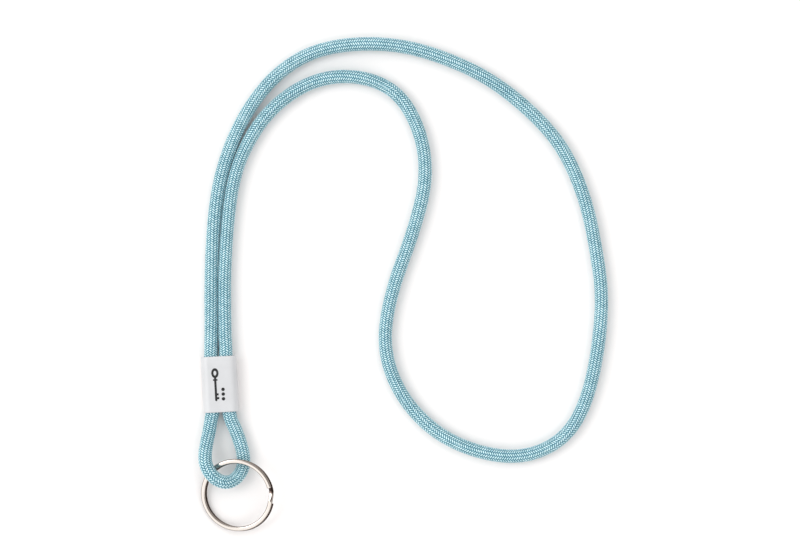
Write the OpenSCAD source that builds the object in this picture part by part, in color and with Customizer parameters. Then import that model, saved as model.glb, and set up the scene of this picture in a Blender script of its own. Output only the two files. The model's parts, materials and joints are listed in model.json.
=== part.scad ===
// Round braided neck cord with a flat oval crimp sleeve and a split key ring, laid out on a surface.
// Millimetres. Origin: centre of the sleeve's underside. +Y runs up the sleeve to the neck loop, +Z is up.

/* [Cord] */
// Outer diameter of the braided cord
cord_d = 6; // [5:0.1:6]
// Thickness of the braided cover round the core
cover_t = 1.15; // [0.8:0.05:1.6]
// Number of flat sides on the cord's round surfaces
cord_sides = 12; // [8:1:12]

/* [Sleeve] */
// Width of the flat oval sleeve
sleeve_w = 16; // [15.5:0.1:18]
// Height of the flat oval sleeve
sleeve_h = 7; // [6.8:0.1:7.6]
// Length of the sleeve along the cord
sleeve_l = 25; // [20:0.5:25]
// Wall thickness of the sleeve
sleeve_wall = 1.2; // [1:0.1:1.4]

/* [Split ring] */
// Outer diameter of the split ring
ring_od = 33; // [32.2:0.1:33.4]
// Width of the flattened ring wire, measured along the ring's radius
wire_w = 2; // [1.6:0.1:2.2]
// Thickness of one turn of the ring wire
wire_h = 1.05; // [0.9:0.05:1.1]
// How far the ring leans on the cord, in degrees
ring_tilt = 14.5; // [14:0.5:15.5]
// How far the two turns sit off each other's centre
turn_shift = 0.5; // [0:0.05:0.6]

/* [Hidden] */

$fn = 64;
clear = 0.3;      // air between bodies that move on each other
fit_gap = 0.05;   // hairline between pieces that are pressed together
cord_r = cord_d / 2;
bore_r = cord_r - cover_t;
core_r = bore_r - fit_gap;

// Heights of the cord's centre line: inside the sleeve, and lying on the surface
mid_z = sleeve_h / 2;
low_z = cord_r + 0.05;

// The cord flexes about a line just outside each mouth of the sleeve
flex_y = sleeve_l / 2 + cord_r + clear;

// Route of the neck loop, from the sleeve's left side round to its right side
NECK_ROUTE = [
    [-3.2, flex_y, mid_z], [-2.6, 27, 3.2], [-1.2, 52, low_z], [2.2, 80, low_z], [7.4, 99, low_z],
    [17.1, 118.9, low_z], [31.2, 135.7, low_z], [48.5, 145.9, low_z], [69, 148.8, low_z],
    [89.9, 146.6, low_z], [109, 139.9, low_z], [127.3, 129.9, low_z], [144.8, 114.8, low_z],
    [158.5, 97.3, low_z], [167.3, 74.1, low_z], [171.4, 49, low_z], [172.5, 27, low_z],
    [168.1, -0.2, low_z], [161, -20.6, low_z], [150.8, -33.1, low_z], [135.1, -39.2, low_z],
    [117.9, -37.5, low_z], [99.7, -29.5, low_z], [86.1, -16.9, low_z], [77.3, -0.9, low_z],
    [74.7, 17, low_z], [79.7, 38.8, low_z], [90, 64.1, low_z], [96.6, 86.9, low_z], [95, 108.2, low_z],
    [85.1, 126.6, low_z], [67, 134.4, low_z], [47.1, 132.5, low_z], [28.1, 120.3, low_z],
    [14.9, 101.5, low_z], [9.1, 82, low_z], [5.1, 52, low_z], [3.8, 27, 3.2], [3.4, flex_y, mid_z]
];

// Route of the key loop, from the sleeve's left side, up over the ring, through it and back
KEY_ROUTE = [
    [-4.8, -flex_y, mid_z], [-5.7, -20, 4], [-6.9, -25, 5.3], [-7.9, -30, 7.05], [-7.8, -35, 8.7],
    [-5.6, -39.7, 9.4], [-2.1, -42.8, 8.7], [1.7, -43.7, 7.2], [5.4, -42, 5.2], [7.9, -38.7, 3.7],
    [8.8, -34.8, low_z], [8.4, -30, low_z], [7.2, -25, low_z], [5.6, -20, 3.2], [4, -flex_y, mid_z]
];

// Places along each route where the swept cord has a ring of points
NECK_STATIONS = 54;
KEY_STATIONS = 24;

// The split ring: its centre, the way it leans, where its wire crosses from turn to turn,
// and the way the low turn sits off centre
RING_CENTRE = [5.2, -49.75];
RING_LEAN = 35;
BREAK_START = -48;
BREAK_SWEEP = 22;
SHIFT_WAY = -70;
RAMP_STEPS = 8;
ring_r = ring_od / 2;
turn_gap = 0.1;
ring_t = 2 * wire_h + turn_gap;
turn_rise = wire_h + turn_gap;
ring_z = ring_r * sin(ring_tilt) + ring_t / 2 * cos(ring_tilt);
wire_round = 0.4;

// Gap between the two cut cord ends inside the sleeve
butt_gap = 1;

// ---- cord sweep ----

function unit(v) = v / norm(v);

// Point on a smooth curve through four neighbours, t running from the second to the third
function curve_point(a, b, c, d, t) =
    (2 * b + (c - a) * t + (2 * a - 5 * b + 4 * c - d) * t * t + (3 * b - a - 3 * c + d) * t * t * t) / 2;

// Point on the whole route, u running from 0 to the number of stretches
function route_point(route, u) =
    let (
        last = len(route) - 1,
        i = min(floor(u), last - 1),
        before = i > 0 ? route[i - 1] : 2 * route[0] - route[1],
        after = i + 2 <= last ? route[i + 2] : 2 * route[last] - route[last - 1]
    )
    curve_point(before, route[i], route[i + 1], after, u - i);

function stations(route, count) =
    [for (k = [0 : count - 1]) route_point(route, k * (len(route) - 1) / (count - 1))];

function heading(points, k) =
    unit(points[min(k + 1, len(points) - 1)] - points[max(k - 1, 0)]);

// One ring of points round a centre, square to the heading
function ring_points(centre, along, radius) =
    let (side = unit(cross(along, [0, 0, 1])), up = cross(side, along))
    [for (s = [0 : cord_sides - 1])
        let (a = 360 * s / cord_sides)
        centre + radius * (cos(a) * side + sin(a) * up)];

// Rings of a ball end, from the flex line outwards; way is +1 past the last station, -1 before the first
function ball_rings(centre, along, way, angles) =
    [for (a = angles) ring_points(centre + way * cord_r * sin(a) * along, along, cord_r * cos(a))];

function backwards(list) = [for (k = [len(list) - 1 : -1 : 0]) list[k]];

function body_rings(points, radius) =
    [for (k = [0 : len(points) - 1]) ring_points(points[k], heading(points, k), radius)];

// Triangles between ring a and ring b
function band(a, b) =
    [for (s = [0 : cord_sides - 1])
        let (n = (s + 1) % cord_sides, i = a * cord_sides, j = b * cord_sides)
        each [[i + s, i + n, j + n], [i + s, j + n, j + s]]];

function flatten(lists) = [for (l = lists) each l];

// Hollow cover: out along the outside, back along the inside
module swept_cover(route, count) {
    points = stations(route, count);
    last = count - 1;
    first_way = heading(points, 0);
    last_way = heading(points, last);
    mouth = acos((bore_r + fit_gap) / cord_r);
    caps = [mouth / 3, 2 * mouth / 3, mouth];
    reach = cord_r * sin(mouth);
    rings = concat(
        backwards(ball_rings(points[0], first_way, -1, caps)),
        body_rings(points, cord_r),
        ball_rings(points[last], last_way, 1, caps),
        [ring_points(points[last] + reach * last_way, last_way, bore_r)],
        backwards(body_rings(points, bore_r)),
        [ring_points(points[0] - reach * first_way, first_way, bore_r)]
    );
    total = len(rings);
    polyhedron(
        points = flatten(rings),
        faces = flatten([for (k = [0 : total - 1]) band(k, (k + 1) % total)]),
        convexity = 10
    );
}

// Solid core: the cord's middle, with the tip of each ball end
module swept_core(route, count) {
    points = stations(route, count);
    last = count - 1;
    mouth = acos(core_r / cord_r);
    caps = [mouth, (mouth + 86) / 2, 86];
    rings = concat(
        backwards(ball_rings(points[0], heading(points, 0), -1, caps)),
        body_rings(points, core_r),
        ball_rings(points[last], heading(points, last), 1, caps)
    );
    total = len(rings);
    polyhedron(
        points = flatten(rings),
        faces = concat(
            flatten([for (k = [0 : total - 2]) band(k, k + 1)]),
            [[for (s = [cord_sides - 1 : -1 : 0]) s]],
            [[for (s = [0 : cord_sides - 1]) (total - 1) * cord_sides + s]]
        ),
        convexity = 10
    );
}

// ---- flattened cord inside the sleeve ----

module oval(width, height) {
    square([width - height, height], center = true);
    for (side = [-1, 1])
        translate([side * (width - height) / 2, 0])
            circle(d = height);
}

// Half of the sleeve's hole, shrunk by margin all round; side is -1 for left, 1 for right
module half_hole(side, margin) {
    hole_w = sleeve_w - 2 * sleeve_wall;
    hole_h = sleeve_h - 2 * sleeve_wall;
    intersection() {
        oval(hole_w - 2 * margin, hole_h - 2 * margin);
        translate([side * (margin + hole_w / 2), 0])
            square([hole_w, hole_h], center = true);
    }
}

// A straight piece that fills the flat profile between two places along the sleeve
module pressed(from_y, to_y) {
    translate([0, to_y, mid_z])
        rotate([90, 0, 0])
            linear_extrude(height = to_y - from_y)
                children();
}

module pressed_cover(side, from_y, to_y) {
    pressed(from_y, to_y)
        difference() {
            half_hole(side, fit_gap);
            half_hole(side, cover_t);
        }
}

module pressed_core(side, from_y, to_y) {
    pressed(from_y, to_y)
        half_hole(side, cover_t + fit_gap);
}

// ---- sub-parts ----

module sleeve() {
    color("white")
        pressed(-sleeve_l / 2, sleeve_l / 2)
            difference() {
                oval(sleeve_w, sleeve_h);
                oval(sleeve_w - 2 * sleeve_wall, sleeve_h - 2 * sleeve_wall);
            }
}

module through_strand_cover() {
    color("lightskyblue") pressed_cover(-1, -sleeve_l / 2, sleeve_l / 2);
}

module through_strand_core() {
    color("aliceblue") pressed_core(-1, -sleeve_l / 2, sleeve_l / 2);
}

module neck_end_cover() {
    color("lightskyblue") pressed_cover(1, butt_gap / 2, sleeve_l / 2);
}

module neck_end_core() {
    color("aliceblue") pressed_core(1, butt_gap / 2, sleeve_l / 2);
}

module key_end_cover() {
    color("lightskyblue") pressed_cover(1, -sleeve_l / 2, -butt_gap / 2);
}

module key_end_core() {
    color("aliceblue") pressed_core(1, -sleeve_l / 2, -butt_gap / 2);
}

module neck_loop_cover() {
    color("skyblue") swept_cover(NECK_ROUTE, NECK_STATIONS);
}

module neck_loop_core() {
    color("aliceblue") swept_core(NECK_ROUTE, NECK_STATIONS);
}

module key_loop_cover() {
    color("skyblue") swept_cover(KEY_ROUTE, KEY_STATIONS);
}

module key_loop_core() {
    color("aliceblue") swept_core(KEY_ROUTE, KEY_STATIONS);
}

// Wire section of one turn: flat where the turns face each other, rounded on its outer edges
module wire_section(face_up) {
    flat_y = face_up ? wire_h - wire_round : 0;
    round_y = face_up ? wire_round : wire_h - wire_round;
    translate([ring_r - wire_w, flat_y])
        square([wire_w, wire_round]);
    translate([ring_r - wire_w, wire_round])
        square([wire_w, wire_h - 2 * wire_round]);
    translate([ring_r - wire_w + wire_round, 0])
        square([wire_w - 2 * wire_round, wire_h]);
    for (x = [ring_r - wire_w + wire_round, ring_r - wire_round])
        translate([x, round_y])
            circle(r = wire_round);
}

// One full-height stretch of the ring's wire, as a ring sector at one level
module turn(face_up, start, sweep) {
    rotate([0, 0, start])
        rotate_extrude(angle = sweep, $fn = 128)
            wire_section(face_up);
}

// Corner points of the wire at one place on the crossing ramp, f running from 0 (low) to 1 (high)
function ramp_corners(f) =
    let (
        a = BREAK_START + BREAK_SWEEP * (1 - f),
        level = max(0, min(1, f)),
        z = turn_rise * level,
        shift = turn_shift * (1 - level),
        inset = 0.02,
        r0 = ring_r - wire_w + inset,
        r1 = ring_r - inset,
        cut = wire_round
    )
    [for (p = [
            [r0 + cut, inset], [r1 - cut, inset], [r1, cut], [r1, wire_h - cut],
            [r1 - cut, wire_h - inset], [r0 + cut, wire_h - inset], [r0, wire_h - cut], [r0, cut]
        ])
        [p[0] * cos(a) + shift * cos(SHIFT_WAY), p[0] * sin(a) + shift * sin(SHIFT_WAY), p[1] + z]];

// The ramp that joins the low turn to the high turn
module crossing() {
    overlap = 0.06;
    rows = [for (k = [0 : RAMP_STEPS]) ramp_corners(k / RAMP_STEPS * (1 + 2 * overlap) - overlap)];
    polyhedron(
        points = flatten(rows),
        faces = concat(
            [[for (s = [0 : 7]) s]],
            [[for (s = [7 : -1 : 0]) RAMP_STEPS * 8 + s]],
            flatten([for (k = [0 : RAMP_STEPS - 1]) for (s = [0 : 7])
                let (n = (s + 1) % 8)
                [[k * 8 + s, (k + 1) * 8 + s, (k + 1) * 8 + n], [k * 8 + s, (k + 1) * 8 + n, k * 8 + n]]])
        )
    );
}

module split_ring() {
    color("silver")
        translate([RING_CENTRE[0], RING_CENTRE[1], ring_z])
            rotate([0, 0, RING_LEAN])
                rotate([0, -ring_tilt, 0])
                    translate([0, 0, -ring_t / 2]) {
                        translate([turn_shift * cos(SHIFT_WAY), turn_shift * sin(SHIFT_WAY), 0])
                            turn(false, BREAK_START + BREAK_SWEEP, 360 - BREAK_SWEEP);
                        translate([0, 0, turn_rise])
                            turn(true, BREAK_START + BREAK_SWEEP, 360 - BREAK_SWEEP);
                        crossing();
                    }
}

sleeve();
through_strand_cover();
through_strand_core();
neck_end_cover();
neck_end_core();
key_end_cover();
key_end_core();
neck_loop_cover();
neck_loop_core();
key_loop_cover();
key_loop_core();
split_ring();
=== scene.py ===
import json
import math

import bpy
import numpy as np
from mathutils import Matrix, Vector


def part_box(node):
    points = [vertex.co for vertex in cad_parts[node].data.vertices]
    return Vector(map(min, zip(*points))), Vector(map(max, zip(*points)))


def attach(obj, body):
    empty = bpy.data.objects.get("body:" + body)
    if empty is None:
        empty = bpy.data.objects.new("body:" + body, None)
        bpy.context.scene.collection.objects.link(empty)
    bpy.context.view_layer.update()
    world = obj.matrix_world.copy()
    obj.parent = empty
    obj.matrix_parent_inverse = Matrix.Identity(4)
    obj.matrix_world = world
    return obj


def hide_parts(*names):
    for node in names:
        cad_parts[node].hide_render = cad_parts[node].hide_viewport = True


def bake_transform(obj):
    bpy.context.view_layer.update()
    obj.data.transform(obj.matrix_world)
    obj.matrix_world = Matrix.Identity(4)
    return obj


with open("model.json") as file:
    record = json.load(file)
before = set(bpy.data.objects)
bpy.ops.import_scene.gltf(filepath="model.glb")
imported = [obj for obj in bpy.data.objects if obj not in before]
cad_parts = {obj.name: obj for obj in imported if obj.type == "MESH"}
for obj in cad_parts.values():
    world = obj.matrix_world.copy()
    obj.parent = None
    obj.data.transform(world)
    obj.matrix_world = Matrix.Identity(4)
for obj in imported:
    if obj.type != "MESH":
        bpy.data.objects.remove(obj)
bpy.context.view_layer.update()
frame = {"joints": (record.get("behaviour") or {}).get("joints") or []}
MM = 0.001
rng = np.random.default_rng(11)
scene = bpy.context.scene

# ---------------------------------------------------------------- camera

CAMERA_HEIGHT = 1.2
CAMERA_TURN = -3
VIEW_WIDTH = 0.35804
VIEW_CENTRE = (0.08303, 0.04495)
CORD_MIDDLE = 0.003
SENSOR = 36.0

camera_data = bpy.data.cameras.new("camera")
camera_data.sensor_width = SENSOR
camera_data.lens = SENSOR * (CAMERA_HEIGHT - CORD_MIDDLE) / VIEW_WIDTH
camera_data.clip_start = 0.01
camera_data.clip_end = 20.0
camera = bpy.data.objects.new("camera", camera_data)
camera.location = (VIEW_CENTRE[0], VIEW_CENTRE[1], CAMERA_HEIGHT)
camera.rotation_euler = (0, 0, math.radians(CAMERA_TURN))
scene.collection.objects.link(camera)
scene.camera = camera

# ---------------------------------------------------------------- the cord's line

# Millimetres. The whole cord is one line: from one cut end inside the sleeve, up its right side,
# round the neck loop to the left side, down through the sleeve, round the key loop, and back in.
# The two loops' routes are listed from the sleeve's left side to its right, as in the CAD.
NECK_ROUTE = [
    (-3.2, 15.8, 3.5), (-2.6, 27, 3.2), (-1.2, 52, 3.05), (2.2, 80, 3.05), (7.4, 99, 3.05),
    (17.1, 118.9, 3.05), (31.2, 135.7, 3.05), (48.5, 145.9, 3.05), (69, 148.8, 3.05),
    (89.9, 146.6, 3.05), (109, 139.9, 3.05), (127.3, 129.9, 3.05), (144.8, 114.8, 3.05),
    (158.5, 97.3, 3.05), (167.3, 74.1, 3.05), (171.4, 49, 3.05), (172.5, 27, 3.05), (168.1, -0.2, 3.05),
    (161, -20.6, 3.05), (150.8, -33.1, 3.05), (135.1, -39.2, 3.05), (117.9, -37.5, 3.05),
    (99.7, -29.5, 3.05), (86.1, -16.9, 3.05), (77.3, -0.9, 3.05), (74.7, 17, 3.05), (79.7, 38.8, 3.05),
    (90, 64.1, 3.05), (96.6, 86.9, 3.05), (95, 108.2, 3.05), (85.1, 126.6, 3.05), (67, 134.4, 3.05),
    (47.1, 132.5, 3.05), (28.1, 120.3, 3.05), (14.9, 101.5, 3.05), (9.1, 82, 3.05), (5.1, 52, 3.05),
    (3.8, 27, 3.2), (3.4, 15.8, 3.5),
]
KEY_ROUTE = [
    (-4.8, -15.8, 3.5), (-5.7, -20, 4), (-6.9, -25, 5.3), (-7.9, -30, 7.05), (-7.8, -35, 8.7),
    (-5.6, -39.7, 9.4), (-2.1, -42.8, 8.7), (1.7, -43.7, 7.2), (5.4, -42, 5.2), (7.9, -38.7, 3.7),
    (8.8, -34.8, 3.05), (8.4, -30, 3.05), (7.2, -25, 3.05), (5.6, -20, 3.2), (4, -15.8, 3.5),
]
NECK_END_RUN = [(3.4, 0.5, 3.5), (3.4, 5, 3.5), (3.4, 9.5, 3.5), (3.2, 12.5, 3.5)]
THROUGH_RUN = [
    (-3.35, 12.5, 3.5), (-3.4, 9.5, 3.5), (-3.4, 3, 3.5), (-3.4, -3, 3.5), (-3.45, -9, 3.5),
    (-3.95, -12.5, 3.5),
]
KEY_END_RUN = [(3.55, -12.5, 3.5), (3.4, -9, 3.5), (3.4, -5, 3.5), (3.4, -0.5, 3.5)]
LINE_STEP = 0.25


def spline(points, per_span=24):
    """Catmull-Rom curve through the points, as the CAD's sweep follows."""
    p = np.asarray(points, float)
    p = np.vstack([2 * p[0] - p[1], p, 2 * p[-1] - p[-2]])
    t = np.linspace(0, 1, per_span, endpoint=False)[:, None]
    spans = []
    for i in range(len(p) - 3):
        a, b, c, d = p[i:i + 4]
        spans.append(
            (2 * b + (c - a) * t + (2 * a - 5 * b + 4 * c - d) * t ** 2
             + (3 * b - a - 3 * c + d) * t ** 3) / 2
        )
    spans.append(p[-2:-1])
    return np.vstack(spans)


def arc(points):
    """Length along the line at each of its points."""
    return np.r_[0, np.cumsum(np.linalg.norm(np.diff(points, axis=0), axis=1))]


def even(points, step):
    """The same line with its points about one step apart."""
    along = arc(points)
    s = np.linspace(0, along[-1], int(round(along[-1] / step)) + 1)
    return np.stack([np.interp(s, along, points[:, k]) for k in range(3)], 1)


def smoothed(points, step, sigma):
    """The line averaged over a Gaussian window, its two ends held."""
    reach = int(4 * sigma / step)
    window = np.exp(-0.5 * (np.arange(-reach, reach + 1) * step / sigma) ** 2)
    window /= window.sum()
    before = 2 * points[0] - points[reach:0:-1]
    after = 2 * points[-1] - points[-2:-reach - 2:-1]
    padded = np.vstack([before, points, after])
    return np.stack([np.convolve(padded[:, k], window, "valid") for k in range(3)], 1)


def ease(x):
    """0 below 0, 1 above 1, and a smooth step between."""
    x = np.clip(x, 0, 1)
    return x * x * (3 - 2 * x)


route = NECK_END_RUN + NECK_ROUTE[::-1] + THROUGH_RUN + KEY_ROUTE + KEY_END_RUN
line = even(spline(route), LINE_STEP)
# Near the sleeve the line keeps its tight bends, and round the neck loop it runs in long sweeps
NEAR_BLUR, FAR_BLUR = 0.9, 5.0
near_line = smoothed(line, LINE_STEP, NEAR_BLUR)
far_line = smoothed(line, LINE_STEP, FAR_BLUR)
LOOP_X, LOOP_Y, LOOP_FADE = 40, 18, 30
far = np.where(line[:, 0] > LOOP_X, 1.0, ease((line[:, 1] - LOOP_Y) / LOOP_FADE))[:, None]
line = even(near_line * (1 - far) + far_line * far, LINE_STEP)
# Above the sleeve the two strands lie against each other, a little closer than the CAD's tubes
PAIR_START, PAIR_START_FADE = 15, 8
PAIR_END, PAIR_END_FADE = 100, 20
PAIR_X = 20
FIRST_MOVE, LAST_MOVE = -0.24, 0.09
together = ease((line[:, 1] - PAIR_START) / PAIR_START_FADE) * (line[:, 0] < PAIR_X)
together *= ease((PAIR_END - line[:, 1]) / PAIR_END_FADE)
first_half = np.arange(len(line)) < len(line) / 2
line[:, 0] += together * np.where(first_half, FIRST_MOVE, LAST_MOVE)
line_s = arc(line)
LINE_LENGTH = line_s[-1]

heading = np.gradient(line, axis=0)
heading /= np.linalg.norm(heading, axis=1)[:, None]
line_side = np.cross(heading, (0, 0, 1))
line_side /= np.linalg.norm(line_side, axis=1)[:, None]
line_up = np.cross(line_side, heading)


def on_line(values, s):
    """Values given along the line, read at lengths s."""
    return np.stack([np.interp(s, line_s, values[:, k]) for k in range(3)], -1)


def crossings(y):
    """Lengths at which the two strands by the sleeve pass a given y."""
    near = np.abs(line[:, 0]) < PAIR_X
    d = line[:, 1] - y
    k = np.nonzero((d[:-1] * d[1:] <= 0) & near[:-1])[0]
    return [float(line_s[i]) for i in k]


# ---------------------------------------------------------------- the cord's section

# Millimetres. The cord is round outside the sleeve and pressed to a blunt oval inside it. The
# stitches' tops stand a little proud of the CAD's plain tube, and RELIEF is how far they rise.
CORD_R = 3.0
BORE_R = 1.85
PROUD = 0.06
RELIEF = 0.30
PRESSED_W, PRESSED_H = 3.22, 2.2
PRESSED_POWER = 2.3
PRESSED_RELIEF = 0.08
PRESS_X, PRESS_REACH = 12, 20
PRESS_Y, PRESS_FADE = 15.4, 3.6
TIP_TAPER, TIP_LENGTH = 0.4, 1.6

by_sleeve = (np.abs(line[:, 0]) < PRESS_X) & (np.abs(line[:, 1]) < PRESS_REACH)
line_press = np.where(by_sleeve, ease((PRESS_Y - np.abs(line[:, 1])) / PRESS_FADE), 0.0)
from_tip = np.minimum(line_s, LINE_LENGTH - line_s)
line_tip = 1 - TIP_TAPER * (1 - np.clip(from_tip / TIP_LENGTH, 0, 1)) ** 2

# Slow waves along the cord: how far the braid is twisted, in radians, and how far it swells, in
# millimetres
turns = rng.uniform(0, 2 * math.pi, 6)
line_twist = (
    0.30 * np.sin(line_s / 61 + turns[0]) + 0.22 * np.sin(line_s / 27 + turns[1])
    + 0.05 * np.sin(line_s / 9.3 + turns[2])
)
line_swell = (
    0.020 * np.sin(line_s / 17 + turns[3]) + 0.016 * np.sin(line_s / 6.1 + turns[4])
    + 0.010 * np.sin(line_s / 2.7 + turns[5])
)


def section(s, angle, lift, half_w, half_h):
    """Points of the cord's surface at lengths s and angles round it, lifted off a base oval.

    half_w and half_h are the oval's half-width and half-height, each given first for the round
    cord and then for the pressed cord.
    """
    press = np.interp(s, line_s, line_press)
    tip = np.interp(s, line_s, line_tip)
    a = half_w[0] * (1 - press) + half_w[1] * press
    b = half_h[0] * (1 - press) + half_h[1] * press
    power = 2 + (PRESSED_POWER - 2) * press
    c, d = np.cos(angle), np.sin(angle)
    reach = (np.abs(c / a) ** power + np.abs(d / b) ** power) ** (-1 / power)
    reach = (reach + lift) * tip
    centre = on_line(line, s)
    side = on_line(line_side, s)
    up = on_line(line_up, s)
    return centre + (reach * c)[..., None] * side + (reach * d)[..., None] * up


# ---------------------------------------------------------------- mesh helpers


def new_object(name, mesh):
    obj = bpy.data.objects.new(name, mesh)
    scene.collection.objects.link(obj)
    return obj


def ring_faces(first, rows, around, closed):
    """Quads between rings of points, numbered from first; closed joins the last ring to the first."""
    count = rows if closed else rows - 1
    k = np.arange(count)[:, None]
    j = np.arange(around)[None, :]
    k2 = (k + 1) % rows
    j2 = (j + 1) % around
    quads = np.stack([k * around + j, k2 * around + j, k2 * around + j2, k * around + j2], -1)
    return quads.reshape(-1, 4) + first


def mesh_from(name, points, quads, caps=()):
    """A smooth-shaded mesh from points in millimetres, quads and a few bigger faces."""
    mesh = bpy.data.meshes.new(name)
    points = np.asarray(points, float).reshape(-1, 3) * MM
    mesh.vertices.add(len(points))
    mesh.vertices.foreach_set("co", points.ravel().astype(np.float32))
    corners = np.concatenate([np.asarray(quads).ravel()] + [np.asarray(c) for c in caps])
    sizes = np.array([4] * len(quads) + [len(c) for c in caps])
    starts = np.r_[0, np.cumsum(sizes)[:-1]]
    mesh.loops.add(len(corners))
    mesh.loops.foreach_set("vertex_index", corners.astype(np.int32))
    mesh.polygons.add(len(sizes))
    mesh.polygons.foreach_set("loop_start", starts.astype(np.int32))
    mesh.update(calc_edges=True)
    mesh.validate()
    mesh.shade_smooth()
    return mesh


def mark_sharp(mesh, chosen):
    """Edges whose two points are both chosen shade as creases."""
    pairs = np.zeros(len(mesh.edges) * 2, np.int32)
    mesh.edges.foreach_get("vertices", pairs)
    pairs = pairs.reshape(-1, 2)
    sharp = chosen[pairs[:, 0]] & chosen[pairs[:, 1]]
    attribute = mesh.attributes.get("sharp_edge")
    if attribute is None:
        attribute = mesh.attributes.new("sharp_edge", "BOOLEAN", "EDGE")
    attribute.data.foreach_set("value", sharp)


# ---------------------------------------------------------------- braided cover

COLUMNS = 12
FINE = 4
AROUND = COLUMNS * FINE
ROWS_PER_STITCH = 2 * FINE
STITCH_LENGTH = 1.05
ACROSS_POWER, ALONG_POWER = 2.0, 4.0
STITCHES = int(round(LINE_LENGTH / STITCH_LENGTH))
PITCH = LINE_LENGTH / STITCHES
TOTAL_ROWS = STITCHES * ROWS_PER_STITCH
stitch_gain = rng.uniform(0.86, 1.10, (COLUMNS, STITCHES))
stitch_tone = rng.uniform(0.0, 1.0, (COLUMNS, STITCHES))


def row_at(s):
    """The even row of the braid nearest to length s."""
    return 2 * int(round(s / PITCH * FINE))


def row_length(row):
    return PITCH * row / ROWS_PER_STITCH


def stitch_at(a, b):
    """Which yarn is on top at a place in the braid, and where in its stitch the place is.

    a and b count the two families of yarns, which cross all round the cord. Each yarn passes over
    two and under two, so that the stitches stand in columns and lean left and right by turns.
    """
    i, j = np.floor(a), np.floor(b)
    which = (i - j) % 4
    rising = which < 2
    part_a, part_b = a - i, b - j
    across = np.where(rising, part_b, part_a)
    along = np.where(rising, part_a + which, part_b + 3 - which) / 2
    wrap = COLUMNS * (((i - j) >= 2 * COLUMNS).astype(int) - ((i - j) < 0).astype(int))
    i, j = i - wrap, j + wrap
    column = (2 * ((i - j) // 4) + 1 - rising).astype(int) % COLUMNS
    index = np.where(rising, j, i).astype(int) % STITCHES
    return across, along, column, index


def braid_points(first_row, last_row):
    """Outer surface of the braid on its own slanting lattice, each stitch a raised lozenge."""
    r = np.arange(first_row, last_row + 1)[:, None]
    k = np.arange(AROUND)[None, :]
    x = k / FINE + (r % 2) / (2 * FINE)
    y = r / ROWS_PER_STITCH + 0 * x
    across, along, column, index = stitch_at(y + x, y - x)
    crest = 1 - np.abs(2 * across - 1) ** ACROSS_POWER
    crest = crest * (1 - np.abs(2 * along - 1) ** ALONG_POWER)
    s = np.clip(PITCH * y, 0, LINE_LENGTH)
    press = np.interp(s, line_s, line_press)
    height = RELIEF * (1 - press) + PRESSED_RELIEF * press
    lift = height * crest * stitch_gain[column, index] + np.interp(s, line_s, line_swell)
    angle = 2 * math.pi * x / COLUMNS + np.interp(s, line_s, line_twist)
    base = CORD_R + PROUD - RELIEF
    half_w = (base, PRESSED_W - PRESSED_RELIEF)
    half_h = (base, PRESSED_H - PRESSED_RELIEF)
    return section(s, angle, lift, half_w, half_h), x, y


def braid_faces(rows):
    """Quads along the yarns, and the triangles that square off the two ends."""
    k = np.arange(AROUND)[None, :]
    r = np.arange(rows - 2)[:, None]
    odd = r % 2
    right = (k + odd) % AROUND
    left = (k - 1 + odd) % AROUND
    here, beside, beyond = r * AROUND, (r + 1) * AROUND, (r + 2) * AROUND
    quads = np.stack([here + k, beside + left, beyond + k, beside + right], -1).reshape(-1, 4)
    k = np.arange(AROUND)
    after = (k + 1) % AROUND
    low = np.stack([k, AROUND + k, after], -1)
    last = (rows - 1) * AROUND
    high = np.stack([last + k, last + after, last - AROUND + k], -1)
    return quads, np.concatenate([low, high])


# How much wider and how much lower the bore and the core are where the cord is pressed
BORE_WIDER, CORE_WIDER, BOTH_LOWER = 0.35, 0.3, 0.6


def bore_points(first_row, last_row):
    """Inside wall of the cover, in rings about 2 mm apart."""
    count = max(2, int((last_row - first_row) / ROWS_PER_STITCH / 2))
    s = row_length(np.linspace(first_row, last_row, count + 1))[:, None]
    x = np.arange(AROUND)[None, :] / FINE
    s = s + 0 * x
    angle = 2 * math.pi * x / COLUMNS + np.interp(s, line_s, line_twist)
    half_w = (BORE_R, BORE_R + BORE_WIDER)
    half_h = (BORE_R, BORE_R - BOTH_LOWER)
    return section(s, angle, 0.0 * s, half_w, half_h), x + 0 * s, s / PITCH


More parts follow.
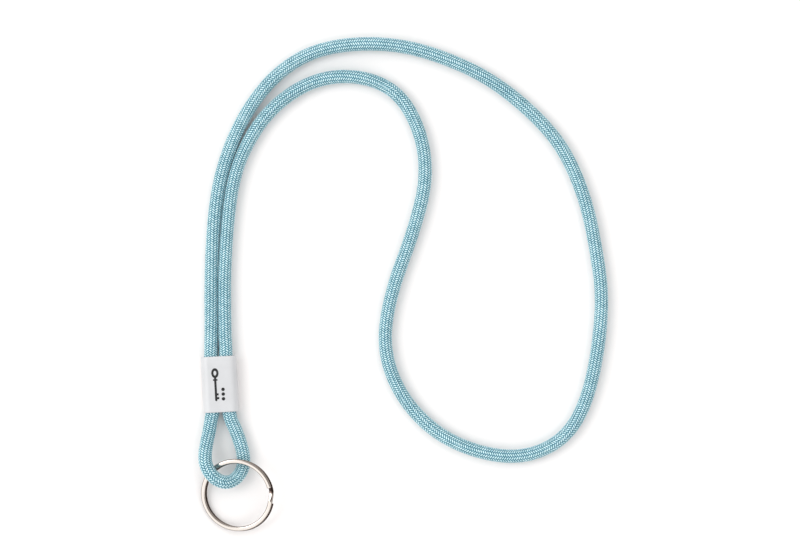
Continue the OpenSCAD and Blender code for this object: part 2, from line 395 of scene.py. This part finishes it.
def braided_cover(name, first_row, last_row):
    """A length of the hollow braided cover as a closed mesh.

    Its UV map counts the two families of yarns, and its tone attribute gives each stitch a shade.
    """
    outer, outer_x, outer_y = braid_points(first_row, last_row)
    inner, inner_x, inner_y = bore_points(first_row, last_row)
    rows, inner_rows = len(outer), len(inner)
    first_inner = rows * AROUND
    last_inner = first_inner + (inner_rows - 1) * AROUND
    points = np.concatenate([outer.reshape(-1, 3), inner.reshape(-1, 3)])
    outer_place = np.stack([outer_x, outer_y], -1).reshape(-1, 2)
    inner_place = np.stack([inner_x, inner_y], -1).reshape(-1, 2)
    lattice = np.concatenate([outer_place, inner_place])
    quads, triangles = braid_faces(rows)
    k = np.arange(AROUND)
    after = (k + 1) % AROUND
    last = (rows - 1) * AROUND
    near_end = np.stack([k, after, first_inner + after, first_inner + k], -1)
    far_end = np.stack([last + after, last + k, last_inner + k, last_inner + after], -1)
    bore = ring_faces(first_inner, inner_rows, AROUND, False)[:, ::-1]
    all_quads = np.concatenate([quads, bore, near_end, far_end])
    mesh = mesh_from(name, points, all_quads, triangles)
    chosen = np.zeros(len(points), bool)
    for start in (0, last, first_inner, last_inner):
        chosen[start:start + AROUND] = True
    mark_sharp(mesh, chosen)
    corners = np.zeros(len(mesh.loops), np.int32)
    mesh.loops.foreach_get("vertex_index", corners)
    sizes = np.r_[np.full(len(all_quads), 4), np.full(len(triangles), 3)]
    starts = np.r_[0, np.cumsum(sizes)[:-1]]
    place = lattice[corners]
    turn = np.maximum.reduceat(place[:, 0], starts)
    turn = np.repeat(turn, sizes)
    x = np.where(turn - place[:, 0] > COLUMNS / 2, place[:, 0] + COLUMNS, place[:, 0])
    y = place[:, 1]
    layer = mesh.uv_layers.new(name="braid")
    layer.data.foreach_set("uv", np.stack([y + x, y - x], -1).astype(np.float32).ravel())
    mid_x = np.add.reduceat(x, starts) / sizes
    mid_y = np.add.reduceat(y, starts) / sizes
    column, index = stitch_at(mid_y + mid_x, mid_y - mid_x)[2:]
    attribute = mesh.attributes.new("tone", "FLOAT", "FACE")
    attribute.data.foreach_set("value", stitch_tone[column, index].astype(np.float32))
    return new_object(name, mesh)


CORE_YARNS = 7
CORE_AROUND = 5 * CORE_YARNS
CORE_R = 1.72
CORE_LOBE = 0.3
LOBE_POWER = 0.7
CORE_LAY = 6.5
CORE_ROW = 1.2
CORE_TIP = 0.7


def yarn_core(name, first_row, last_row):
    """A length of the core: seven yarns laid together, seen as seven twisting lobes."""
    count = max(3, int(row_length(last_row - first_row) / CORE_ROW))
    s = row_length(np.linspace(first_row, last_row, count + 1))[:, None]
    c = np.arange(CORE_AROUND)[None, :]
    s = s + 0.0 * c
    turn = 2 * math.pi * c / CORE_AROUND
    angle = turn + s / CORE_LAY
    lobe = np.abs(np.sin(CORE_YARNS / 2 * turn)) ** LOBE_POWER
    shrink = np.ones(count + 1)
    if first_row == 0:
        shrink[0] = CORE_TIP
    if last_row == TOTAL_ROWS:
        shrink[-1] = CORE_TIP
    low = CORE_R - CORE_LOBE
    half_w = (low, low + CORE_WIDER)
    half_h = (low, low - BOTH_LOWER)
    points = section(s, angle, CORE_LOBE * lobe * shrink[:, None], half_w, half_h)
    rows = count + 1
    quads = ring_faces(0, rows, CORE_AROUND, False)
    first_cap = np.arange(CORE_AROUND)
    last_cap = (rows - 1) * CORE_AROUND + np.arange(CORE_AROUND)[::-1]
    mesh = mesh_from(name, points, quads, [first_cap, last_cap])
    return new_object(name, mesh)


# Where the cord is cut into pieces: the roots by the sleeve bend, so they are pieces of their own
ROOT_Y = 21.3
INNER_Y = 9.5
right_inner, left_inner = crossings(INNER_Y)
right_root, left_root = crossings(ROOT_Y)
key_left, key_right = crossings(-INNER_Y)
cuts = [0, right_inner, right_root, left_root, left_inner, key_left, key_right, LINE_LENGTH]
rows = [row_at(s) for s in cuts]
rows[-1] = TOTAL_ROWS

# Where each bend starts and where it ends, in metres
NECK_BEND = ((0, 0.0128, 0.0035), (0, 0.0205, 0.0035))
KEY_BEND = ((0, -0.0128, 0.0035), (0, -0.0205, 0.0035))
# Name, body, the body it bends towards with its bend, and the CAD node it stands for
STRETCHES = [
    ("neck_end_strand", "sleeve", None, "neck_end"),
    ("neck_root_right", "sleeve", ("neck_loop",) + NECK_BEND, None),
    ("neck_cord", "neck_loop", None, "neck_loop"),
    ("neck_root_left", "sleeve", ("neck_loop",) + NECK_BEND, None),
    ("through_strand", "sleeve", None, "through_strand"),
    ("key_cord", "sleeve", ("key_loop",) + KEY_BEND, "key_loop"),
    ("key_end_strand", "sleeve", None, "key_end"),
]
covers = {}
cores = {}
for k, (name, body, bend, node) in enumerate(STRETCHES):
    cover = braided_cover(name, rows[k], rows[k + 1])
    core = yarn_core(name + "_core", rows[k], rows[k + 1])
    for piece, slot, part in ((cover, "cord_cover", "_cover"), (core, "cord_core", "_core")):
        if bend:
            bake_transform(piece)
        else:
            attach(piece, body)
        if node:
            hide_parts(node + part)
    covers[name] = cover
    cores[name] = core


# ---------------------------------------------------------------- sleeve

SLEEVE_LOW, SLEEVE_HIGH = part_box("sleeve")
SLEEVE_W = (SLEEVE_HIGH.x - SLEEVE_LOW.x) / MM
SLEEVE_H = (SLEEVE_HIGH.z - SLEEVE_LOW.z) / MM
SLEEVE_L = (SLEEVE_HIGH.y - SLEEVE_LOW.y) / MM
SLEEVE_WALL = 1.2
LIP = 0.4
INNER_LIP = 0.25
CROWN = 0.07
CROWN_BAND = 1.4
WALL_START = 1.5
PROFILE_POINTS = 160


def oval_profile(inset):
    """Points round the flat oval, pulled in by inset, as (x, z) about its middle."""
    r = SLEEVE_H / 2 - inset
    flat = SLEEVE_W / 2 - SLEEVE_H / 2
    straight = 2 * flat
    half_turn = math.pi * (SLEEVE_H / 2)
    whole = 2 * (straight + half_turn)
    d = np.linspace(0, whole, PROFILE_POINTS, endpoint=False)
    x = np.zeros_like(d)
    z = np.zeros_like(d)
    right = d < half_turn
    angle = d / half_turn * math.pi - math.pi / 2
    x[right] = flat + r * np.cos(angle[right])
    z[right] = r * np.sin(angle[right])
    top = (d >= half_turn) & (d < half_turn + straight)
    x[top] = flat - (d[top] - half_turn)
    z[top] = r
    left = (d >= half_turn + straight) & (d < 2 * half_turn + straight)
    angle = (d - half_turn - straight) / half_turn * math.pi + math.pi / 2
    x[left] = -flat + r * np.cos(angle[left])
    z[left] = r * np.sin(angle[left])
    bottom = d >= 2 * half_turn + straight
    x[bottom] = -flat + (d[bottom] - 2 * half_turn - straight)
    z[bottom] = -r
    return x, z


def crown_drop(x):
    """How far the crowned flats fall below full height at a distance x from the middle."""
    return CROWN * ease(np.abs(x) / (SLEEVE_W / 2))


def crowned(x, z):
    """Heights of the outside profile with its two flats crowned."""
    return z - np.sign(z) * crown_drop(x) * (np.abs(z) > SLEEVE_H / 2 - CROWN_BAND)


def lip_inside(a):
    """How far back from the end, and how far in, the inside of the lip is at an angle round it."""
    return INNER_LIP * (1 - math.cos(a)), SLEEVE_WALL - INNER_LIP * (1 - math.sin(a))


def sleeve_rings():
    """Rings of the shell: along the outside, round the lip, back along the inside, round again."""
    half = SLEEVE_L / 2
    quarter = math.pi / 2
    inside_end = half - WALL_START
    stations = []
    for y in np.linspace(-half + LIP, half - LIP, 26):
        stations.append((y, 0.0))
    for a in np.linspace(0, quarter, 7)[1:]:
        stations.append((half - LIP + LIP * math.sin(a), LIP * (1 - math.cos(a))))
    for a in np.linspace(0, quarter, 5):
        back, inset = lip_inside(a)
        stations.append((half - back, inset))
    for y in np.linspace(inside_end, -inside_end, 10):
        stations.append((y, SLEEVE_WALL))
    for a in np.linspace(quarter, 0, 5):
        back, inset = lip_inside(a)
        stations.append((-half + back, inset))
    for a in np.linspace(quarter, 0, 7)[:-1]:
        stations.append((-half + LIP - LIP * math.sin(a), LIP * (1 - math.cos(a))))
    rings = []
    for y, inset in stations:
        x, z = oval_profile(inset)
        if inset < SLEEVE_WALL / 2:
            z = crowned(x, z)
        rings.append(np.stack([x, np.full_like(x, y), z + SLEEVE_H / 2], -1))
    return np.array(rings)


shell_rings = sleeve_rings()
shell_mesh = mesh_from(
    "sleeve_shell", shell_rings, ring_faces(0, len(shell_rings), PROFILE_POINTS, True)[:, ::-1]
)
shell = new_object("sleeve_shell", shell_mesh)
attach(shell, "sleeve")
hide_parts("sleeve")

# ---------------------------------------------------------------- printed marks on the sleeve

INK_LEVELS = (-0.02, 0.03)


def top_height(x):
    """Height of the sleeve's top at a distance x from its middle."""
    return SLEEVE_H - crown_drop(x)


def add_prism(points, quads, caps, outline):
    """A thin printed shape with the given outline, its points appended to the lists."""
    n = len(outline)
    first = len(points)
    for level in INK_LEVELS:
        for x, y in outline:
            points.append((x, y, top_height(x) + level))
    for k in range(n):
        m = (k + 1) % n
        quads.append((first + k, first + m, first + n + m, first + n + k))
    caps.append([first + k for k in range(n - 1, -1, -1)])
    caps.append([first + n + k for k in range(n)])


def add_band(points, quads, outer, inner):
    """A thin printed ring between two matching outlines, its points appended to the lists."""
    n = len(outer)
    first = len(points)
    for ring in (outer, inner):
        for level in INK_LEVELS:
            for x, y in ring:
                points.append((x, y, top_height(x) + level))
    outer_low, outer_high, inner_low, inner_high = (first + n * k for k in range(4))
    for k in range(n):
        m = (k + 1) % n
        quads.append((outer_low + k, outer_low + m, outer_high + m, outer_high + k))
        quads.append((outer_high + k, outer_high + m, inner_high + m, inner_high + k))
        quads.append((inner_high + k, inner_high + m, inner_low + m, inner_low + k))
        quads.append((inner_low + k, inner_low + m, outer_low + m, outer_low + k))


def oval(cx, cy, half_w, half_h, n):
    """Points round an oval."""
    turn = np.linspace(0, 2 * math.pi, n, endpoint=False)
    return [(cx + half_w * math.cos(t), cy + half_h * math.sin(t)) for t in turn]


# A generic key and three dots
KEY_X = -1.75
BOW_Y, BOW_R, BOW_NARROW = 5.1, 2.2, 0.74
HOLE_R, HOLE_NARROW = BOW_R * 0.48, 0.60
BOW_POINTS = 40
KEY_OUTLINE = [
    (-0.5, 3.0), (-0.5, 2.4), (-1.0, 2.4), (-1.0, 1.7), (-0.5, 1.7), (-0.5, -7.1), (0.0, -7.5),
    (0.5, -7.1), (0.5, -6.6), (1.4, -6.6), (1.4, -5.6), (0.5, -5.6), (0.5, -4.9), (1.2, -4.9),
    (1.2, -3.9), (0.5, -3.9), (0.5, 1.7), (1.0, 1.7), (1.0, 2.4), (0.5, 2.4), (0.5, 3.0),
]
DOT_X, DOT_R, DOT_POINTS = 1.5, 0.78, 24
ink_points, ink_quads, ink_caps = [], [], []
bow = oval(KEY_X, BOW_Y, BOW_R * BOW_NARROW, BOW_R, BOW_POINTS)
bow_hole = oval(KEY_X, BOW_Y, HOLE_R * HOLE_NARROW, HOLE_R, BOW_POINTS)
add_band(ink_points, ink_quads, bow, bow_hole)
add_prism(ink_points, ink_quads, ink_caps, [(KEY_X + x, y) for x, y in KEY_OUTLINE])
for dot_y in (-6.5, -4.4, -2.3):
    dot = oval(DOT_X, dot_y, DOT_R, DOT_R, DOT_POINTS)
    add_prism(ink_points, ink_quads, ink_caps, dot)
ink_mesh = mesh_from("sleeve_print", ink_points, ink_quads, ink_caps)
ink_mesh.shade_flat()
ink = new_object("sleeve_print", ink_mesh)
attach(ink, "sleeve")

# ---------------------------------------------------------------- split ring

# Millimetres and degrees, as in the CAD; the wire crosses from turn to turn inside the break
RING_R = 16.5
WIRE_W = 2.0
WIRE_H = 1.05
TURN_RISE = 1.15
TURN_SHIFT = 0.5
SHIFT_WAY = math.radians(-70)
RING_LEAN = 35
RING_TILT = 14.5
BREAK_START = -48.0
BREAK_SWEEP = 22.0

# How far the wire's flats are crowned, and how its edges are rounded: more on the outer sides
WIRE_CROWN = 0.13
OUTER_ROUND, INNER_ROUND = 0.42, 0.20
# Each cut end stops short of the crossover, and is rounded over its last degrees
END_GAP = 2.0
END_ROUND, END_ROUND_DEPTH = 0.8, 0.14
WIRE_STEPS = 520
# Where the wire is painted dark: towards its upright edges, a painted dark reflection, and on the flat
# against the other turn, painted shade
EDGE_START, EDGE_FADE, EDGE_PAINTED_REFLECTION = 0.80, 0.16, 0.55
FLAT_START, FLAT_FADE = 0.15, 0.2
ring_joint = next(j for j in frame["joints"] if j["name"] == "ring_spin")
ring_centre = Vector(ring_joint["pos_m"])
ring_frame = (
    Matrix.Translation(ring_centre)
    @ Matrix.Rotation(math.radians(RING_LEAN), 4, "Z")
    @ Matrix.Rotation(math.radians(-RING_TILT), 4, "Y")
)


def wire_outline(low_round, high_round, steps=6):
    """Rounded section of the flattened wire, as (radial, height) about its middle."""
    half_w, half_h = WIRE_W / 2, WIRE_H / 2
    spread = np.linspace(0.8, -0.8, 7)[:, None]
    over = spread * (half_w - high_round, 0) + (0, half_h)
    under = -spread * (half_w - low_round, 0) - (0, half_h)
    corners = [
        (half_w, -half_h, low_round, -math.pi / 2),
        (half_w, half_h, high_round, 0.0),
        (-half_w, half_h, high_round, math.pi / 2),
        (-half_w, -half_h, low_round, math.pi),
    ]
    points = []
    for x, z, r, start in corners:
        cx = x - math.copysign(r, x)
        cz = z - math.copysign(r, z)
        for a in np.linspace(start, start + math.pi / 2, steps):
            points.append((cx + r * math.cos(a), cz + r * math.sin(a)))
        if start == 0.0:
            points.extend(over.tolist())
        if start == math.pi:
            points.extend(under.tolist())
    points = np.array(points)
    dip = WIRE_CROWN * (points[:, 0] / half_w) ** 2
    points[:, 1] -= dip * points[:, 1] / half_h
    return points


def ring_wire():
    """The ring's wire, one strip wound twice round, with its two cut ends at the break.

    Returns its sections, and for each of their points how dark the nickel is painted there: about
    half on the upright edges, a painted reflection, and fully on the flats that face the other turn,
    painted shade.
    """
    start = BREAK_START + 360 - END_GAP
    finish = BREAK_START + BREAK_SWEEP - 360 + END_GAP
    middle = np.linspace(start, finish, WIRE_STEPS)
    lead = np.array([0.0, 0.12, 0.3, 0.55, END_ROUND])
    angles = np.r_[start - lead, middle[2:-2], finish + lead[::-1]]
    low = wire_outline(OUTER_ROUND, INNER_ROUND)
    high = wire_outline(INNER_ROUND, OUTER_ROUND)
    upright = ease((np.abs(low[:, 0]) / (WIRE_W / 2) - EDGE_START) / EDGE_FADE)
    rings = []
    shade_and_reflection_rows = []
    for a in angles:
        level = float(ease(np.array((BREAK_START + BREAK_SWEEP - a) / BREAK_SWEEP)))
        outline = low * (1 - level) + high * level
        from_end = min(1, min(start - a, a - finish) / END_ROUND)
        inset = END_ROUND_DEPTH * (1 - math.sqrt(max(0, 1 - (1 - from_end) ** 2)))
        outline = outline * (1 - inset * np.array([1 / (WIRE_W / 2), 1 / (WIRE_H / 2)]))
        t = math.radians(a)
        shift = TURN_SHIFT * (1 - level)
        r = RING_R - WIRE_W / 2 + outline[:, 0]
        x = r * math.cos(t) + shift * math.cos(SHIFT_WAY)
        y = r * math.sin(t) + shift * math.sin(SHIFT_WAY)
        z = outline[:, 1] - TURN_RISE / 2 + TURN_RISE * level
        rings.append(np.stack([x, y, z], -1))
        side = 2 * level - 1
        facing = ease((-FLAT_START - outline[:, 1] * side) / FLAT_FADE) * abs(side)
        shade_and_reflection_rows.append(np.maximum(EDGE_PAINTED_REFLECTION * upright, facing))
    return np.array(rings), np.concatenate(shade_and_reflection_rows)


wire_rings, wire_shade_and_reflection = ring_wire()
wire_rows, wire_around = wire_rings.shape[:2]
wire_quads = ring_faces(0, wire_rows, wire_around, False)
wire_caps = [
    np.arange(wire_around),
    (wire_rows - 1) * wire_around + np.arange(wire_around)[::-1],
]
wire_mesh = mesh_from("split_ring_wire", wire_rings, wire_quads, wire_caps)
wire_mesh.transform(ring_frame)
# The wire's painted shade and painted reflection, held at each point for its material
shade_and_reflection_attribute = wire_mesh.attributes.new("painted_shade_and_reflection", "FLOAT", "POINT")
shade_and_reflection_attribute.data.foreach_set("value", wire_shade_and_reflection.astype(np.float32))
wire = new_object("split_ring_wire", wire_mesh)
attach(wire, "split_ring")
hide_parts("split_ring")

# ---------------------------------------------------------------- materials


def new_material(name):
    """A material with its nodes, its links and its shader."""
    material = bpy.data.materials.new(name)
    material.use_nodes = True
    nodes = material.node_tree.nodes
    return material, nodes, material.node_tree.links, nodes["Principled BSDF"]


def math_node(nodes, links, operation, a, b=None, c=None):
    """A Math node; each input is a number or an output socket."""
    node = nodes.new("ShaderNodeMath")
    node.operation = operation
    for socket, value in zip(node.inputs, (a, b, c)):
        if value is None:
            continue
        if isinstance(value, (int, float)):
            socket.default_value = value
        else:
            links.new(value, socket)
    return node.outputs[0]


def ramp_node(nodes, links, value, stops):
    """A Color Ramp with (place, linear colour) stops."""
    node = nodes.new("ShaderNodeValToRGB")
    ramp = node.color_ramp
    while len(ramp.elements) < len(stops):
        ramp.elements.new(0.5)
    for element, (place, colour) in zip(ramp.elements, stops):
        element.position = place
        element.color = (*colour, 1)
    links.new(value, node.inputs[0])
    return node.outputs[0]


def noise_node(nodes, links, place, scale, detail, roughness=0.5):
    """A Noise Texture's value at a place."""
    node = nodes.new("ShaderNodeTexNoise")
    node.inputs["Scale"].default_value = scale
    node.inputs["Detail"].default_value = detail
    node.inputs["Roughness"].default_value = roughness
    links.new(place, node.inputs["Vector"])
    return node.outputs["Fac"]


def add_bump(nodes, links, shader, height, strength, distance):
    """Small relief on a shader's surface."""
    bump = nodes.new("ShaderNodeBump")
    bump.inputs["Strength"].default_value = strength
    bump.inputs["Distance"].default_value = distance
    links.new(height, bump.inputs["Height"])
    links.new(bump.outputs[0], shader.inputs["Normal"])


def object_place(nodes):
    return nodes.new("ShaderNodeTexCoord").outputs["Object"]


def attribute_value(nodes, name):
    node = nodes.new("ShaderNodeAttribute")
    node.attribute_name = name
    return node.outputs["Fac"]


def srgb(r, g, b):
    """Linear colour from 0 to 255 display values."""
    return tuple(
        (v / 255 / 12.92) if v / 255 <= 0.04045 else ((v / 255 + 0.055) / 1.055) ** 2.4
        for v in (r, g, b)
    )


def set_inputs(shader, **values):
    """Set sockets by name, with underscores for spaces."""
    for key, value in values.items():
        shader.inputs[key.replace("_", " ")].default_value = value


def cover_material():
    """Light blue braid with fine filaments: painted highlights on the stitches' crests, painted shade
    in the dark teal between them.
    """
    material, nodes, links, shader = new_material("braided_cover")

    def calc(operation, *values):
        return math_node(nodes, links, operation, *values)

    uv = nodes.new("ShaderNodeUVMap")
    uv.uv_map = "braid"
    split = nodes.new("ShaderNodeSeparateXYZ")
    links.new(uv.outputs[0], split.inputs[0])
    floor_a, floor_b = calc("FLOOR", split.outputs[0]), calc("FLOOR", split.outputs[1])
    part_a, part_b = calc("FRACT", split.outputs[0]), calc("FRACT", split.outputs[1])
    which = calc("FLOORED_MODULO", calc("SUBTRACT", floor_a, floor_b), 4.0)
    falling = calc("GREATER_THAN", which, 1.5)

    def either(when_rising, when_falling):
        change = calc("SUBTRACT", when_falling, when_rising)
        return calc("MULTIPLY_ADD", falling, change, when_rising)

    def lens(value, power):
        size = calc("ABSOLUTE", calc("MULTIPLY_ADD", value, 2.0, -1.0))
        return calc("SUBTRACT", 1.0, calc("POWER", size, power))

    across = either(part_b, part_a)
    rising_along = calc("ADD", part_a, which)
    falling_along = calc("SUBTRACT", calc("ADD", part_b, 3.0), which)
    along = calc("MULTIPLY", 0.5, either(rising_along, falling_along))
    crest = calc("MULTIPLY", lens(across, ACROSS_POWER), lens(along, ALONG_POWER))
    place = object_place(nodes)
    patch = noise_node(nodes, links, place, 95.0, 3.0)
    fuzz = noise_node(nodes, links, place, 2600.0, 2.0)
    shade = calc("MULTIPLY_ADD", attribute_value(nodes, "tone"), 0.16, -0.08)
    drift = calc("MULTIPLY_ADD", patch, 0.14, -0.07)
    filaments = calc("SINE", calc("MULTIPLY_ADD", fuzz, 2.4, calc("MULTIPLY", across, 44.0)))
    total = calc("ADD", calc("ADD", crest, shade), drift)
    total = calc("MULTIPLY_ADD", filaments, 0.05, total)
    # From painted shade in the grooves, dark teal, to a painted highlight on the crests, near white
    colour = ramp_node(
        nodes, links, total,
        [
            (0.0, srgb(2, 44, 62)),
            (0.35, srgb(56, 128, 150)),
            (0.65, srgb(138, 199, 213)),
            (1.0, srgb(226, 247, 250)),
        ],
    )
    links.new(colour, shader.inputs["Base Color"])
    add_bump(nodes, links, shader, calc("MULTIPLY_ADD", filaments, 0.6, fuzz), 0.5, 0.00005)
    links.new(calc("MULTIPLY_ADD", fuzz, 0.2, 0.38), shader.inputs["Roughness"])
    set_inputs(
        shader, Sheen_Weight=0.3, Sheen_Roughness=0.35, Specular_IOR_Level=0.5,
        Sheen_Tint=(0.85, 0.97, 1.0, 1.0),
    )
    return material


def core_material():
    """Undyed yarn."""
    material, nodes, links, shader = new_material("core_yarn")
    fibres = noise_node(nodes, links, object_place(nodes), 1500.0, 3.0)
    colour = ramp_node(
        nodes, links, fibres, [(0.3, srgb(205, 222, 228)), (0.7, srgb(238, 244, 246))]
    )
    links.new(colour, shader.inputs["Base Color"])
    add_bump(nodes, links, shader, fibres, 0.4, 0.00005)
    set_inputs(shader, Roughness=0.75, Sheen_Weight=0.2)
    return material


def sleeve_material():
    """Satin white powder coat with a faint orange peel."""
    material, nodes, links, shader = new_material("powder_coat")
    place = object_place(nodes)
    peel = noise_node(nodes, links, place, 900.0, 2.0)
    cloud = noise_node(nodes, links, place, 120.0, 3.0)
    colour = ramp_node(
        nodes, links, cloud, [(0.3, srgb(199, 200, 202)), (0.7, srgb(206, 207, 209))]
    )
    links.new(colour, shader.inputs["Base Color"])
    rough = math_node(nodes, links, "MULTIPLY_ADD", cloud, 0.16, 0.27)
    links.new(rough, shader.inputs["Roughness"])
    add_bump(nodes, links, shader, peel, 0.25, 0.00004)
    set_inputs(shader, Specular_IOR_Level=0.45)
    return material


def ink_material():
    """Black pad print."""
    material, nodes, links, shader = new_material("black_ink")
    grain = noise_node(nodes, links, object_place(nodes), 3000.0, 2.0)
    colour = ramp_node(
        nodes, links, grain, [(0.3, srgb(8, 8, 9)), (0.75, srgb(26, 26, 28))]
    )
    links.new(colour, shader.inputs["Base Color"])
    rough = math_node(nodes, links, "MULTIPLY_ADD", grain, 0.2, 0.4)
    links.new(rough, shader.inputs["Roughness"])
    return material


def ring_material():
    """Bright nickel with fine scratches, with painted reflection on the edges and painted shade between
    the turns.
    """
    material, nodes, links, shader = new_material("nickel")
    place = object_place(nodes)
    stretch = nodes.new("ShaderNodeMapping")
    stretch.inputs["Scale"].default_value = (1.0, 1.0, 7.0)
    links.new(place, stretch.inputs["Vector"])
    scratch = noise_node(nodes, links, stretch.outputs[0], 1400.0, 4.0, 0.6)
    cloud = noise_node(nodes, links, place, 160.0, 3.0)
    painted_shade_and_reflection = attribute_value(nodes, "painted_shade_and_reflection")
    shade_reflection_and_tone = math_node(nodes, links, "MULTIPLY_ADD", cloud, 0.12, painted_shade_and_reflection)
    # The dark end of the ramp is painted shade and painted reflection, not a colour of the nickel
    colour = ramp_node(
        nodes, links, shade_reflection_and_tone,
        [
            (0.03, srgb(221, 214, 207)),
            (0.09, srgb(211, 203, 196)),
            (0.6, srgb(120, 106, 98)),
            (1.0, srgb(62, 52, 48)),
        ],
    )
    links.new(colour, shader.inputs["Base Color"])
    rough = math_node(nodes, links, "MULTIPLY_ADD", scratch, 0.10, 0.03)
    links.new(rough, shader.inputs["Roughness"])
    add_bump(nodes, links, shader, scratch, 0.08, 0.00002)
    set_inputs(shader, Metallic=1.0)
    return material


cover_look = cover_material()
core_look = core_material()
for cover in covers.values():
    cover.data.materials.append(cover_look)
for core in cores.values():
    core.data.materials.append(core_look)
shell.data.materials.append(sleeve_material())
ink.data.materials.append(ink_material())
wire.data.materials.append(ring_material())

# ---------------------------------------------------------------- floor, light and world

FLOOR = 4.0
FLOOR_Z = -0.0001
floor_signs = ((-1, -1), (1, -1), (1, 1), (-1, 1))
floor_corners = [(FLOOR * x, FLOOR * y, FLOOR_Z) for x, y in floor_signs]
floor_mesh = bpy.data.meshes.new("floor")
floor_mesh.from_pydata(floor_corners, [], [(0, 1, 2, 3)])
floor = new_object("floor", floor_mesh)
floor_look, _, _, floor_shader = new_material("white_sweep")
set_inputs(
    floor_shader, Base_Color=(0.90, 0.877, 0.87, 1), Roughness=0.9, Specular_IOR_Level=0.1
)
floor.data.materials.append(floor_look)

# A big soft lamp, high up on the left
KEY_PLACE = Vector((-2.75, 0.6, 3.1))
KEY_TARGET = Vector((0.08, 0.04, 0))
KEY_SIZE = 2.2
KEY_POWER = 38.0
key_data = bpy.data.lights.new("key_light", "AREA")
key_data.shape = "SQUARE"
key_data.size = KEY_SIZE
key_data.energy = KEY_POWER
key_light = bpy.data.objects.new("key_light", key_data)
key_light.location = KEY_PLACE
key_light.rotation_euler = (KEY_TARGET - KEY_PLACE).to_track_quat("-Z", "Y").to_euler()
scene.collection.objects.link(key_light)

# A white tent round the object: dimmer near the horizon, brighter on the left, and with a dark
# hole almost straight overhead, where a camera looks in
BLACK, WHITE = (0.0, 0.0, 0.0), (1.0, 1.0, 1.0)
DARK = (0.10, 0.085, 0.075)
DIM = (0.42, 0.42, 0.42)
UP = (0, 0, 1)
BRIGHT_WAY = (-0.9, 0.35, 0.0)
HOLE_WAY = (-0.114, -0.080, 0.990)
HORIZON_START, HORIZON_END = 0.22, 0.44
HOLE_START, HOLE_END = 0.944, 0.964
BRIGHT_SHARE = 0.25
TENT_STRENGTH = 1.34
world = bpy.data.worlds.new("studio")
scene.world = world
world.use_nodes = True
world_nodes = world.node_tree.nodes
world_links = world.node_tree.links
background = world_nodes["Background"]
direction = world_nodes.new("ShaderNodeTexCoord").outputs["Generated"]


def toward(way):
    """How far a direction of the world points a given way, from -1 to 1."""
    node = world_nodes.new("ShaderNodeVectorMath")
    node.operation = "DOT_PRODUCT"
    node.inputs[1].default_value = Vector(way).normalized()
    world_links.new(direction, node.inputs[0])
    return node.outputs["Value"]


horizon = ramp_node(
    world_nodes, world_links, toward(UP), [(HORIZON_START, DIM), (HORIZON_END, WHITE)]
)
hole = ramp_node(
    world_nodes, world_links, toward(HOLE_WAY), [(HOLE_START, WHITE), (HOLE_END, BLACK)]
)
side = math_node(
    world_nodes, world_links, "MULTIPLY_ADD", toward(BRIGHT_WAY), BRIGHT_SHARE, 1.0
)
open_part = math_node(world_nodes, world_links, "MULTIPLY", horizon, hole)
tent = ramp_node(world_nodes, world_links, open_part, [(0.0, DARK), (1.0, WHITE)])
scaled = world_nodes.new("ShaderNodeVectorMath")
scaled.operation = "SCALE"
world_links.new(tent, scaled.inputs[0])
world_links.new(side, scaled.inputs["Scale"])
world_links.new(scaled.outputs[0], background.inputs["Color"])
background.inputs["Strength"].default_value = TENT_STRENGTH

scene.view_settings.view_transform = "Standard"
scene.view_settings.look = "None"
# The stitches are only about two pixels long, so the denoiser is not to smooth its guide pictures
scene.cycles.denoising_prefilter = "NONE"
